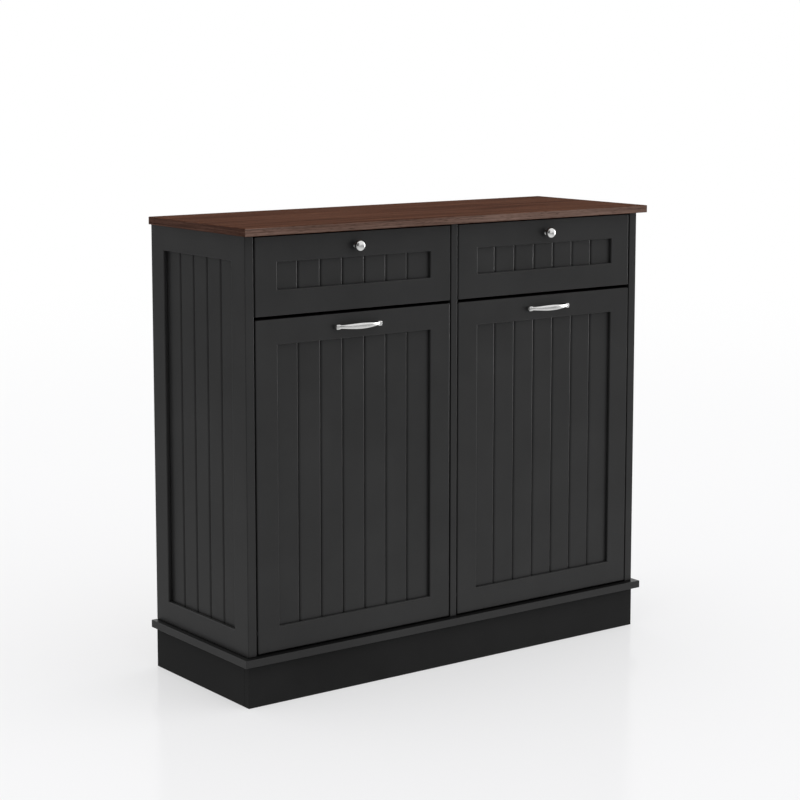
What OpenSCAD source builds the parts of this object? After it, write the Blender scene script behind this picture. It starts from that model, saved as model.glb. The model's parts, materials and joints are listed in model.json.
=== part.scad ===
// Free-standing kitchen cabinet with two drawers above two tilt-out bin doors.
// The front faces -Y, +X is to the right as seen from the front, and the floor is z = 0.

/* [Overall size] */
// Width of the case over its two sides
case_w = 965; // [860:5:1200]
// Depth of the case, from the face plane to the rear edges of the sides
case_d = 340; // [320:5:420]
// Height from the floor to the top of the worktop
total_h = 900; // [820:5:1000]

/* [Worktop and base] */
// Thickness of the worktop
top_t = 15; // [12:1:30]
// How far the worktop stands out past each side
top_side_over = 11; // [0:1:25]
// How far the worktop stands out past the face plane
top_front_over = 20; // [5:1:25]
// How far the worktop stops short of the rear edges of the sides
top_back_inset = 10; // [4:1:12]
// Thickness of the base board
base_t = 15; // [12:1:25]
// How far the base board stands out at the front and the sides
base_over = 12.5; // [0:0.5:25]
// Height of the plinth
plinth_h = 82; // [60:1:120]
// Thickness of the plinth boards
plinth_t = 15; // [12:1:20]
// How far the rear plinth board stands in from the rear edges of the sides
plinth_back_inset = 25; // [0:1:60]
// Side of the square glue blocks in the plinth's corners
block_w = 30; // [20:1:45]
// Height of the glue blocks
block_h = 55; // [30:1:58]

/* [Case] */
// Thickness of the side frames
side_t = 19; // [18:1:25]
// Width of the side frames' stiles
side_stile_w = 48; // [44:1:70]
// Width of the side frames' top rails
side_top_rail_w = 49; // [40:1:80]
// Width of the side frames' bottom rails
side_bottom_rail_w = 45; // [35:1:80]
// Depth of the side bead panels behind the frames' faces
side_recess = 8; // [4:0.5:9]
// Number of grooves in a side bead panel
side_grooves = 4; // [2:1:6]
// Thickness of the centre divider
divider_t = 15; // [15:1:25]
// Thickness of the back panel
back_t = 3; // [3:0.5:6]
// How far the sides run past the back panel, to be scribed to a wall
back_inset = 10; // [8:1:20]
// Depth of the grooves that hold the back panel
back_groove = 6; // [4:1:6]
// Thickness of the mid rails and the rear rail
rail_t = 15; // [12:1:18]
// Depth of the mid rails from front to back
mid_rail_d = 60; // [40:1:90]
// How far the mid rails' top lies below the top of the doors
mid_rail_drop = 5; // [2:1:10]
// Height of the rear rail
rear_rail_h = 45; // [35:1:45]

/* [Fronts] */
// Thickness of the drawer and door frames
front_t = 18; // [17:0.5:22]
// Width of the frames' stiles and rails
frame_w = 48; // [42:1:60]
// Depth of the bead panels behind the frames' faces
recess = 7; // [4:0.5:8]
// Number of grooves in a drawer or door bead panel
front_grooves = 6; // [3:1:9]
// Gap at each side of a front and under a door
front_gap = 3; // [2.5:0.5:4]
// Gap between a drawer front and the worktop
top_gap = 4; // [2:0.5:6]
// Gap between a drawer front and the door below it
mid_gap = 6; // [3:0.5:10]
// Height of a drawer front
drawer_h = 147; // [143:1:170]

/* [Bead panels] */
// Thickness of the bead panels
bead_t = 9; // [6:0.5:9]
// Width of the rebate that holds a bead panel
rebate = 8; // [5:0.5:10]
// Clearance between the edge of a bead panel and its rebate
panel_clear = 0.5; // [0.2:0.1:1.5]
// Width of a V groove
groove_w = 4; // [2:0.5:6]
// Depth of a V groove
groove_d = 3; // [1:0.5:4]

/* [Drawer boxes] */
// Height of the drawer box
box_h = 90; // [75:1:90]
// Height of the box above the bottom of the drawer front
box_lift = 11; // [8:1:12]
// Thickness of the box boards
box_t = 12; // [10:0.5:15]
// Thickness of the drawer bottom
bottom_t = 4; // [3:0.5:6]
// Height of the drawer bottom above the box's lower edge
bottom_lift = 10; // [6:1:14]
// Depth of the grooves that hold the drawer bottom
bottom_groove = 6; // [4:0.5:7]
// Gap between the closed drawer box and the back panel
box_rear_gap = 5; // [3:1:15]
// Travel of a drawer
drawer_travel = 210; // [150:5:215]

/* [Drawer slides] */
// Height of a slide
slide_h = 35; // [33:0.5:40]
// Width that a slide takes up beside the box
slide_w = 10; // [10:0.5:13]
// Sheet thickness of the slide members
slide_sheet = 1.2; // [1:0.1:1.5]
// Distance of a slide from the drawer front and from the rear end of the box
slide_set = 2; // [1:0.5:6]
// Diameter of the balls
ball_d = 4.2; // [3.5:0.1:4.6]
// Number of balls in a row
balls = 4; // [3:1:6]
// Height of the slides' middle above the box's lower edge
slide_lift = 48; // [30:1:50]

/* [Bin cradles] */
// Thickness of the cradle boards
cradle_t = 12; // [10:0.5:15]
// Gap between a cradle and the case beside it
cradle_gap = 8; // [5:0.5:12]
// Height of the cradle's lower edge above the base board
cradle_lift = 6; // [4:1:12]
// Gap between the closed cradle and the back panel
cradle_rear_gap = 6; // [5:1:20]
// Height of the cradle sides
cradle_h = 377; // [330:1:420]
// How much larger the radius of the cradle sides' rear curve is than the cradle's reach
cradle_curve = 39; // [25:1:90]
// Height of the shelf's underside above the cradle's lower edge
shelf_lift = 6; // [4:1:20]
// Height of the cradle's back rail
cradle_rail_h = 100; // [60:1:150]

/* [Tilting doors] */
// Furthest that a door tilts, in degrees
tilt_max = 35; // [20:1:40]
// Height of the pivot above the door's lower edge
pivot_up = 40; // [35:1:60]
// Depth of the pivot behind the face plane
pivot_back = 10; // [9:0.5:11]
// Radius of the pivot pins
pivot_r = 4; // [3:0.25:4]
// Wall of the pivot bushes
bush_wall = 2; // [1.5:0.25:2]
// Running clearance of the pins in the bushes, on the radius
pivot_clear = 0.05; // [0.02:0.01:0.1]
// Depth of the pins in the doors' stiles
pin_in_door = 18; // [12:1:24]
// Depth of the pins in the sides of the case
pin_in_side = 12; // [8:1:14]
// Thickness of the bushes' flanges
flange_t = 1.2; // [0.8:0.1:1.5]
// How far the bushes' flanges stand out past their outside
flange_w = 2; // [1:0.25:2]
// Radius of the stop pins
stop_r = 5; // [4:0.5:6]
// Depth of the stop pins behind the face plane
stop_back = 29; // [27:0.5:32]
// Radius of the stop slots about the door's pivot
slot_r = 250; // [200:1:270]
// Clearance of the stop pins in their slots
slot_clear = 0.3; // [0.2:0.1:1]
// Radius of the rubber bumpers on the mid rails
bumper_r = 4; // [3:0.5:6]
// Distance of the bumpers from the ends of the mid rails
bumper_in = 60; // [30:1:100]
// Gap between the doors and the mid rails
bumper_room = 3; // [3:0.5:6]
// Gap between the closed doors and the bumpers
rest_gap = 0.3; // [0.2:0.1:0.5]

/* [Knobs] */
// Distance that a knob stands out from the drawer front
knob_reach = 20; // [17:0.5:35]
// Radius of a knob's head
knob_r = 11; // [9:0.5:16]
// Radius of a knob's neck
neck_r = 4.5; // [4:0.25:6]
// Length of a knob's neck
neck_l = 5.5; // [4:0.5:9]
// Radius of a knob's foot
knob_foot_r = 6; // [5:0.25:9]
// Thickness of a knob's foot
knob_foot_t = 1.5; // [1:0.5:3]
// Thickness of a knob's rim
knob_rim = 2; // [1:0.5:4]
// Rise of the dome on a knob's head
knob_dome = 3.8; // [2:0.2:6]
// Height of a knob's middle below the top of the drawer front
knob_down = 26; // [20:1:30]

/* [Pulls] */
// Distance that a pull stands out from the door
pull_reach = 22; // [18:0.5:35]
// Distance between the screws of a pull
pull_span = 96; // [64:1:160]
// Length of a pull beyond each of its screws
pull_end = 5.5; // [4.5:0.5:9]
// Thickness of a pull's bow
bow_t = 5; // [3.5:0.5:7]
// Height of the bow at its middle
bow_h = 11.6; // [9:0.2:16]
// Height of the bow at its ends
bow_end_h = 8.6; // [7:0.2:11]
// How far the bow's ends stand off the door
bow_lift = 4; // [2:0.5:6]

/* [Fasteners] */
// Radius of the machine screws in knobs and pulls
machine_r = 2; // [1.5:0.25:2.5]
// Depth of a machine screw in a knob or pull
machine_in = 6; // [4:0.5:8]
// Radius of the holes in the fronts for the machine screws
machine_hole_r = 2.3; // [2.1:0.1:3]
// Radius of the wood screws
wood_r = 2; // [1.5:0.25:2.5]
// Radius of the screws in the backs of the drawer boxes
box_screw_r = 1.8; // [1.5:0.1:2.2]
// Length of the wood screws
wood_l = 35; // [25:1:40]
// Radius of the case screws
case_screw_r = 2.5; // [2:0.25:3.5]
// Depth of the case screws in the board that they hold
case_screw_in = 40; // [20:1:50]
// Distance of the rear rail's screws from the sides of the case
top_screw_side = 100; // [60:5:160]
// Radius of the slide screws
slide_screw_r = 1.75; // [1.5:0.25:2]
// Depth of the slide screws in the boards
slide_screw_in = 7; // [4:0.5:7]
// Radius of the dowels
dowel_r = 3; // [2.5:0.25:4]
// Depth of a dowel in the face of a board
dowel_in_face = 9; // [6:0.5:10]
// Depth of a dowel in the end of a board
dowel_in_end = 16; // [10:1:24]
// Radius of the wall fixing holes in the rear rail
tie_r = 2.5; // [2:0.25:4]
// Distance between the wall fixing holes
tie_span = 400; // [200:10:700]

/* [Hidden] */
$fn = 48;

// Colours as they are seen on the finished cabinet
paint = "#2b2b2b";
walnut = "#54362c";
board = "#8a7a66";
steel = "#b8babd";
nylon = "#e4e2da";
rubber = "#1a1a1a";

// Places along Y, with the middle of the whole object at 0
front_reach = max(knob_reach, pull_reach, top_front_over, base_over);
face_y = (front_reach - case_d) / 2;
rear_y = face_y + case_d;
back_y = rear_y - back_inset - back_t;
fronts_back_y = face_y + front_t;
rails_front_y = fronts_back_y + bumper_room;

// Places along Z
base_z = plinth_h + base_t;
top_z = total_h - top_t;
door_z = base_z + front_gap;
drawer_top_z = top_z - top_gap;
drawer_z = drawer_top_z - drawer_h;
door_top_z = drawer_z - mid_gap;
door_h = door_top_z - door_z;
mid_rail_z = door_top_z - mid_rail_drop - rail_t;
rear_rail_z = top_z - rear_rail_h;
box_z = drawer_z + box_lift;
slide_z = box_z + slide_lift;
cradle_z = base_z + cradle_lift;
shelf_z = cradle_z + shelf_lift;
knob_z = drawer_top_z - knob_down;
pull_z = door_top_z - frame_w / 2;
pivot_z = door_z + pivot_up;
pivot_y = face_y + pivot_back;

// Widths and places along X
inner_w = case_w - 2 * side_t;
bay_w = (inner_w - divider_t) / 2;
bay_x = (divider_t + bay_w) / 2;
front_w = bay_w - 2 * front_gap;
box_w = bay_w - 2 * slide_w;
cradle_w = bay_w - 2 * cradle_gap;

// Drawer box and slides
box_d = back_y - box_rear_gap - fronts_back_y;
slide_y = fronts_back_y + slide_set;
slide_l = box_d - 2 * slide_set;
retainer_l = slide_l - drawer_travel;
retainer_y = slide_y + drawer_travel / 2;
run_gap = 0.3;
retainer_sheet = 0.6;
ball_z = slide_h / 2 - slide_sheet - run_gap - ball_d / 2;
inner_h = 2 * (ball_z - ball_d / 2 - run_gap);
slide_head_r = 3;
slide_screw_end = (side_stile_w - rebate - front_t - slide_set) / 2;
box_screw_in = 16;
box_screw_zs = [bottom_lift + bottom_t + box_screw_in, box_h - box_screw_in];
box_dowel_zs = [bottom_lift + bottom_t + 12, box_h - 18];

// Cradle
cradle_d = back_y - cradle_rear_gap - fronts_back_y;
cradle_r = fronts_back_y + cradle_d - pivot_y + cradle_curve;
slot_start = acos((stop_back - pivot_back) / slot_r);
slot_drill = 0.5;
shelf_screw_ys = [60, cradle_d - 75];
rail_screw_zs = [18, cradle_rail_h - 25];
door_dowel_zs = [pivot_z + 50, pivot_z + 150, cradle_z + cradle_h - 30];

// Screws
head_t = 2.4;
head_ratio = 2;
case_screw_ys = [side_stile_w / 2, case_d - side_stile_w / 2];
case_screw_xs = [-(case_w - side_t) / 2, 0, (case_w - side_t) / 2];
top_screw_x = inner_w / 2 - top_screw_side;
top_dowel_ys = [side_stile_w / 2, case_d - 1.5 * side_stile_w];
rail_dowel_ys = [10, mid_rail_d - 15];
tie_z = rear_rail_z + rear_rail_h / 2;
cut = 1;

// A board that fills the space from one corner to the other
module block(low, high) {
    translate(low) cube(high - low);
}

// A cylinder along X from x0 to x1
module rod_x(x0, x1, y, z, r) {
    translate([x0, y, z]) rotate([0, 90, 0]) cylinder(h = x1 - x0, r = r);
}

// A countersunk screw, drilled along +Z from the face that its head is flush with
module flush_screw(l, r) {
    cylinder(h = l, r = r);
    cylinder(h = head_t, r1 = head_ratio * r, r2 = r);
}

// A slide screw, whose flat head fills its hole in the sheet, along +Z
module slide_screw() {
    cylinder(h = slide_sheet, r = slide_head_r);
    cylinder(h = slide_sheet + slide_screw_in, r = slide_screw_r);
}

// A frame in the XZ plane about x = 0, face at y = 0, with a rebate behind for its panel
module ring_frame(w, h, t, stile, low_rail, high_rail, deep) {
    difference() {
        block([-w / 2, 0, 0], [w / 2, t, h]);
        block([-w / 2 + stile, -cut, low_rail], [w / 2 - stile, t + cut, h - high_rail]);
        block([-w / 2 + stile - rebate, deep, low_rail - rebate],
              [w / 2 - stile + rebate, t + cut, h - high_rail + rebate]);
    }
}

// A bead panel for a window w by h about x = 0, with V grooves in its face at y = 0
module bead_board(w, h, n) {
    edge = rebate - panel_clear;
    pitch = w / (n + 1);
    difference() {
        block([-w / 2 - edge, 0, -edge], [w / 2 + edge, bead_t, h + edge]);
        for (i = [1:n])
            translate([-w / 2 + i * pitch, 0, -edge - cut])
                linear_extrude(h + 2 * edge + 2 * cut)
                    polygon([[-groove_w / 2, 0], [-groove_w / 2, -cut], [groove_w / 2, -cut],
                             [groove_w / 2, 0], [0, groove_d]]);
    }
}

// Worktop and base

module worktop() {
    color(walnut) difference() {
        block([-case_w / 2 - top_side_over, face_y - top_front_over, top_z],
              [case_w / 2 + top_side_over, rear_y - top_back_inset, total_h]);
        top_screws();
        case_dowel_rods();
    }
}

module base_board() {
    color(paint) difference() {
        block([-case_w / 2 - base_over, face_y - base_over, plinth_h],
              [case_w / 2 + base_over, rear_y, base_z]);
        base_screws();
    }
}

module plinth_front() {
    color(paint) block([-case_w / 2, face_y, 0], [case_w / 2, face_y + plinth_t, plinth_h]);
}

module plinth_end(s) {
    color(paint) translate([s * (case_w - plinth_t) / 2, 0, 0])
        block([-plinth_t / 2, face_y + plinth_t, 0], [plinth_t / 2, rear_y, plinth_h]);
}

module plinth_back() {
    y = rear_y - plinth_back_inset;
    color(paint) block([-case_w / 2 + plinth_t, y - plinth_t, 0],
                       [case_w / 2 - plinth_t, y, plinth_h]);
}

module plinth_corner_blocks() {
    x = (case_w - block_w) / 2 - plinth_t;
    y0 = face_y + plinth_t;
    y1 = rear_y - plinth_back_inset - plinth_t - block_w;
    color(board) for (s = [-1, 1], y = [y0, y1])
        translate([s * x, y, plinth_h - block_h])
            block([-block_w / 2, 0, 0], [block_w / 2, block_w, block_h]);
}

// Case

// Places a piece drawn as a front on the side of the case that s names
module on_side(s) {
    translate([s * case_w / 2, (face_y + rear_y) / 2, base_z]) rotate([0, 0, s * 90]) children();
}

module side_frame(s) {
    color(paint) difference() {
        on_side(s) ring_frame(case_d, top_z - base_z, side_t, side_stile_w,
                              side_bottom_rail_w, side_top_rail_w, side_recess);
        back_panel_space();
        base_screws();
        side_pins(pivot_y, pivot_z, pivot_r, pin_in_side, 0);
        side_pins(stop_y(), stop_z(), stop_r, pin_in_side, 0);
        for (b = [-1, 1]) outer_slide_screws(b);
        case_dowel_rods();
    }
}

module side_bead_panel(s) {
    window_h = top_z - base_z - side_top_rail_w - side_bottom_rail_w;
    color(paint) on_side(s) translate([0, side_recess, side_bottom_rail_w])
        bead_board(case_d - 2 * side_stile_w, window_h, side_grooves);
}

module centre_divider() {
    color(paint) difference() {
        block([-divider_t / 2, face_y, base_z], [divider_t / 2, back_y, top_z]);
        rear_rail_space();
        base_screws();
        rod_x(-divider_t, divider_t, pivot_y, pivot_z, pivot_r);
        rod_x(-divider_t, divider_t, stop_y(), stop_z(), stop_r);
        for (b = [-1, 1]) outer_slide_screws(b);
        case_dowel_rods();
    }
}

module back_panel_space() {
    block([-inner_w / 2 - back_groove, back_y, base_z],
          [inner_w / 2 + back_groove, back_y + back_t, top_z]);
}

module back_panel() {
    color(board) difference() {
        back_panel_space();
        tie_holes();
    }
}

module mid_rails() {
    color(board) difference() {
        for (b = [-1, 1]) at_bay(b) translate([0, rails_front_y, mid_rail_z])
            block([-bay_w / 2, 0, 0], [bay_w / 2, mid_rail_d, rail_t]);
        case_dowel_rods();
    }
}

module rear_rail_space() {
    block([-inner_w / 2, back_y - rail_t, rear_rail_z], [inner_w / 2, back_y, top_z]);
}

module rear_top_rail() {
    color(board) difference() {
        rear_rail_space();
        tie_holes();
        top_screws();
        case_dowel_rods();
    }
}

module tie_holes() {
    for (s = [-1, 1])
        translate([s * tie_span / 2, back_y + back_t + cut, tie_z]) rotate([90, 0, 0])
            cylinder(h = rail_t + back_t + 2 * cut, r = tie_r);
}

module base_screws() {
    for (x = case_screw_xs, y = case_screw_ys)
        translate([x, face_y + y, plinth_h])
            flush_screw(base_t + case_screw_in, case_screw_r);
}

module top_screws() {
    for (s = [-1, 1])
        translate([s * top_screw_x, back_y - rail_t / 2, rear_rail_z])
            flush_screw(rear_rail_h + top_t * 2 / 3, case_screw_r);
}

module case_screws() {
    color(steel) {
        base_screws();
        top_screws();
        for (b = [-1, 1]) outer_slide_screws(b);
    }
}

// Dowels in the case: upright ones under the worktop, and ones along X in the rails' ends
module case_dowel_rods() {
    rail_z = mid_rail_z + rail_t / 2;
    for (x = case_screw_xs, y = top_dowel_ys)
        translate([x, face_y + y, top_z - dowel_in_end])
            cylinder(h = dowel_in_end + dowel_in_face, r = dowel_r);
    for (s = [-1, 1]) {
        side_dowel(s, rails_front_y + rail_dowel_ys[0], rail_z);
        side_dowel(s, back_y - rail_t / 2, tie_z);
    }
    for (y = rail_dowel_ys)
        rod_x(-divider_t / 2 - dowel_in_end, divider_t / 2 + dowel_in_end,
              rails_front_y + y, rail_z, dowel_r);
}

module side_dowel(s, y, z) {
    mirror([s < 0 ? 1 : 0, 0, 0])
        rod_x(inner_w / 2 - dowel_in_end, inner_w / 2 + dowel_in_face, y, z, dowel_r);
}

module case_dowels() {
    color(board) case_dowel_rods();
}

// Pins and bumpers that the doors work against

function stop_y() = face_y + stop_back;
function stop_z() = pivot_z + slot_r * sin(slot_start);

// A pin at each side of the case, sunk in the side and standing out from it
module side_pins(y, z, r, sunk, out) {
    rod_x(-inner_w / 2 - sunk, -inner_w / 2 + out, y, z, r);
    rod_x(inner_w / 2 - out, inner_w / 2 + sunk, y, z, r);
}

module pivot_pins() {
    out = front_gap + pin_in_door;
    color(steel) {
        side_pins(pivot_y, pivot_z, pivot_r, pin_in_side, out);
        rod_x(-divider_t / 2 - out, divider_t / 2 + out, pivot_y, pivot_z, pivot_r);
    }
}

module stop_pins() {
    out = cradle_gap + cradle_t - slot_clear;
    color(steel) {
        side_pins(stop_y(), stop_z(), stop_r, pin_in_side, out);
        rod_x(-divider_t / 2 - out, divider_t / 2 + out, stop_y(), stop_z(), stop_r);
    }
}

module door_bumpers() {
    color(rubber) for (b = [-1, 1], s = [-1, 1])
        translate([b * bay_x + s * (bay_w / 2 - bumper_in), rails_front_y,
                   mid_rail_z + rail_t / 2])
            rotate([90, 0, 0]) cylinder(h = bumper_room - rest_gap, r = bumper_r);
}

// Slides, drawn in the XZ plane with the wall that carries the outer member at x = 0

module outer_section() {
    difference() {
        translate([0, -slide_h / 2]) square([slide_w - run_gap * 2, slide_h]);
        translate([slide_sheet, -slide_h / 2 + slide_sheet])
            square([slide_w, slide_h - 2 * slide_sheet]);
    }
}

module inner_section() {
    flange_x = slide_sheet + retainer_sheet + 3 * run_gap;
    difference() {
        translate([flange_x, -inner_h / 2]) square([slide_w - flange_x, inner_h]);
        translate([0, -inner_h / 2 + slide_sheet])
            square([slide_w - slide_sheet, inner_h - 2 * slide_sheet]);
    }
}

// Runs a section or a piece along both sides of the bay that b names
module both_slides(b) {
    for (s = [-1, 1])
        translate([b * bay_x + s * bay_w / 2, 0, slide_z]) mirror([s > 0 ? 1 : 0, 0, 0])
            children();
}

module along_slide(y, l) {
    translate([0, y + l, 0]) rotate([90, 0, 0]) linear_extrude(l) children();
}

function slide_screw_ys() = [slide_y + slide_screw_end, slide_y + slide_l - slide_screw_end];

module outer_slide_screws(b) {
    both_slides(b) for (y = slide_screw_ys())
        translate([slide_sheet, y, 0]) rotate([0, -90, 0]) slide_screw();
}

module inner_slide_screws(b) {
    both_slides(b) for (y = slide_screw_ys())
        translate([slide_w - slide_sheet, y, 0]) rotate([0, 90, 0]) slide_screw();
}

module outer_slides(b) {
    color(steel) difference() {
        both_slides(b) along_slide(slide_y, slide_l) outer_section();
        outer_slide_screws(b);
    }
}

module inner_slides(b) {
    color(steel) difference() {
        both_slides(b) along_slide(slide_y, slide_l) inner_section();
        inner_slide_screws(b);
    }
}

module ball_retainers(b) {
    x0 = slide_sheet + run_gap;
    x1 = slide_w - slide_sheet - run_gap;
    ball_x = (x0 + x1) / 2 + retainer_sheet;
    color(steel) both_slides(b) {
        along_slide(retainer_y, retainer_l)
            translate([x0, -ball_z]) square([retainer_sheet, 2 * ball_z]);
        for (s = [-1, 1]) {
            along_slide(retainer_y, retainer_l)
                translate([x0, s * ball_z - retainer_sheet / 2])
                    square([x1 - x0, retainer_sheet]);
            for (i = [1:balls])
                translate([ball_x, retainer_y + (i - 0.5) * retainer_l / balls, s * ball_z])
                    sphere(d = ball_d);
        }
    }
}

// Drawers, where b is -1 for the left one and 1 for the right one

module at_bay(b) {
    translate([b * bay_x, 0, 0]) children();
}

module drawer_front_frame(b) {
    color(paint) difference() {
        at_bay(b) translate([0, face_y, drawer_z])
            ring_frame(front_w, drawer_h, front_t, frame_w, frame_w, frame_w, recess);
        drawer_bottom_space(b);
        box_dowels(b);
        front_hole(b, 0, knob_z);
    }
}

module drawer_bead_panel(b) {
    color(paint) at_bay(b) translate([0, face_y + recess, drawer_z + frame_w])
        bead_board(front_w - 2 * frame_w, drawer_h - 2 * frame_w, front_grooves);
}

module drawer_side(b, s) {
    color(board) difference() {
        at_bay(b) translate([s * (box_w - box_t) / 2, 0, 0])
            block([-box_t / 2, fronts_back_y, box_z],
                  [box_t / 2, fronts_back_y + box_d, box_z + box_h]);
        drawer_bottom_space(b);
        inner_slide_screws(b);
        box_screws(b);
        box_dowels(b);
    }
}

module drawer_back(b) {
    w = box_w - 2 * box_t;
    y = fronts_back_y + box_d;
    color(board) difference() {
        at_bay(b) block([-w / 2, y - box_t, box_z + bottom_lift + bottom_t],
                        [w / 2, y, box_z + box_h]);
        box_screws(b);
    }
}

module drawer_bottom_space(b) {
    w = box_w - 2 * box_t + 2 * bottom_groove;
    at_bay(b) block([-w / 2, fronts_back_y - bottom_groove, box_z + bottom_lift],
                    [w / 2, fronts_back_y + box_d, box_z + bottom_lift + bottom_t]);
}

module drawer_bottom(b) {
    color(board) drawer_bottom_space(b);
}

module knob(b) {
    dome_r = (knob_r * knob_r + knob_dome * knob_dome) / (2 * knob_dome);
    dome_a = asin(knob_r / dome_r);
    neck_y = knob_foot_t + knob_foot_r - neck_r;
    rim_y = knob_reach - knob_dome;
    flare = 1;
    outline = concat(
        [[0, machine_in], [machine_r, machine_in], [machine_r, 0], [knob_foot_r, 0],
         [knob_foot_r, knob_foot_t], [neck_r, neck_y], [neck_r, neck_y + neck_l],
         [knob_r - flare, rim_y - knob_rim - flare], [knob_r, rim_y - knob_rim], [knob_r, rim_y]],
        [for (i = [7:-1:0]) let (a = dome_a * i / 8)
            [dome_r * sin(a), knob_reach - dome_r * (1 - cos(a))]]
    );
    color(steel) at_bay(b) translate([0, face_y, knob_z]) rotate([90, 0, 0])
        rotate_extrude() polygon(outline);
}

module box_screws(b) {
    y = fronts_back_y + box_d - box_t / 2;
    at_bay(b) for (s = [-1, 1], z = box_screw_zs)
        translate([s * box_w / 2, y, box_z + z]) rotate([0, -s * 90, 0])
            flush_screw(wood_l, box_screw_r);
}

// Dowels from the back of a front into the front ends of two boards at x to either side
module front_dowels(b, x, zs) {
    at_bay(b) for (s = [-1, 1], z = zs)
        translate([s * x, fronts_back_y + dowel_in_end, z]) rotate([90, 0, 0])
            cylinder(h = dowel_in_end + dowel_in_face, r = dowel_r);
}

module box_dowels(b) {
    front_dowels(b, (box_w - box_t) / 2, [for (z = box_dowel_zs) box_z + z]);
}

module cradle_dowels(b) {
    front_dowels(b, (cradle_w - cradle_t) / 2, door_dowel_zs);
}

// The clearance hole of a machine screw through a front, x from the middle of the bay
module front_hole(b, x, z) {
    at_bay(b) translate([x, fronts_back_y + cut, z]) rotate([90, 0, 0])
        cylinder(h = front_t + 2 * cut, r = machine_hole_r);
}

module machine_screw(b, x, z) {
    at_bay(b) translate([x, fronts_back_y, z]) rotate([90, 0, 0]) {
        cylinder(h = front_t + machine_in, r = machine_r);
        translate([0, 0, -head_t]) cylinder(h = head_t, r = 2 * machine_r);
    }
}

module drawer_fixings(b) {
    color(steel) {
        machine_screw(b, 0, knob_z);
        box_screws(b);
        inner_slide_screws(b);
    }
    color(board) box_dowels(b);
}

// Tilting doors and their bin cradles

module door_frame(b) {
    color(paint) difference() {
        at_bay(b) translate([0, face_y, door_z])
            ring_frame(front_w, door_h, front_t, frame_w, frame_w, frame_w, recess);
        bushes_space(b);
        cradle_dowels(b);
        for (s = [-1, 1]) front_hole(b, s * pull_span / 2, pull_z);
    }
}

module door_bead_panel(b) {
    color(paint) at_bay(b) translate([0, face_y + recess, door_z + frame_w])
        bead_board(front_w - 2 * frame_w, door_h - 2 * frame_w, front_grooves);
}

module bushes_space(b) {
    at_bay(b) for (s = [-1, 1])
        translate([s * front_w / 2, pivot_y, pivot_z]) rotate([0, -s * 90, 0])
            translate([0, 0, -cut]) cylinder(h = pin_in_door + cut, r = pivot_r + bush_wall);
}

module pivot_bushes(b) {
    color(nylon) at_bay(b) for (s = [-1, 1])
        translate([s * front_w / 2, pivot_y, pivot_z]) rotate([0, -s * 90, 0]) difference() {
            union() {
                cylinder(h = pin_in_door, r = pivot_r + bush_wall);
                translate([0, 0, -flange_t])
                    cylinder(h = flange_t, r = pivot_r + bush_wall + flange_w);
            }
            translate([0, 0, -flange_t - cut])
                cylinder(h = pin_in_door + flange_t + 2 * cut, r = pivot_r + pivot_clear);
        }
}

// The slot that lets the stop pin by while the door tilts, about the pivot in the YZ plane
// Its ends are drilled a little wider than the milled slot between them
module stop_slot() {
    half = stop_r + slot_clear;
    far = 1.5 * slot_r;
    intersection() {
        difference() {
            circle(r = slot_r + half, $fn = 180);
            circle(r = slot_r - half, $fn = 180);
        }
        polygon(concat([[0, 0]],
                       [for (k = [0:2]) let (a = slot_start - k * tilt_max / 2)
                           far * [cos(a), sin(a)]]));
    }
    for (a = [slot_start, slot_start - tilt_max])
        translate(slot_r * [cos(a), sin(a)]) circle(r = half + slot_drill);
}

module cradle_side_shape() {
    y0 = fronts_back_y - pivot_y;
    z0 = cradle_z - pivot_z;
    difference() {
        intersection() {
            translate([y0, z0]) square([cradle_d, cradle_h]);
            circle(r = cradle_r, $fn = 180);
        }
        stop_slot();
    }
}

module cradle_side(b, s) {
    color(board) difference() {
        at_bay(b) translate([s * (cradle_w - cradle_t) / 2 - cradle_t / 2, pivot_y, pivot_z])
            rotate([90, 0, 90]) linear_extrude(cradle_t) cradle_side_shape();
        cradle_screws(b);
        cradle_dowels(b);
    }
}

module cradle_shelf(b) {
    w = cradle_w - 2 * cradle_t;
    color(board) difference() {
        at_bay(b) block([-w / 2, fronts_back_y, shelf_z],
                        [w / 2, fronts_back_y + cradle_d, shelf_z + cradle_t]);
        cradle_screws(b);
    }
}

module cradle_back_rail(b) {
    w = cradle_w - 2 * cradle_t;
    y = fronts_back_y + cradle_d;
    z = shelf_z + cradle_t;
    color(board) difference() {
        at_bay(b) block([-w / 2, y - cradle_t, z], [w / 2, y, z + cradle_rail_h]);
        cradle_screws(b);
    }
}

module cradle_screws(b) {
    rail_y = fronts_back_y + cradle_d - cradle_t / 2;
    rail_z = shelf_z + cradle_t;
    at_bay(b) for (s = [-1, 1]) {
        for (y = shelf_screw_ys)
            translate([s * cradle_w / 2, fronts_back_y + y, shelf_z + cradle_t / 2])
                rotate([0, -s * 90, 0]) flush_screw(wood_l, wood_r);
        for (z = rail_screw_zs)
            translate([s * cradle_w / 2, rail_y, rail_z + z]) rotate([0, -s * 90, 0])
                flush_screw(wood_l, wood_r);
    }
}

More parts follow.
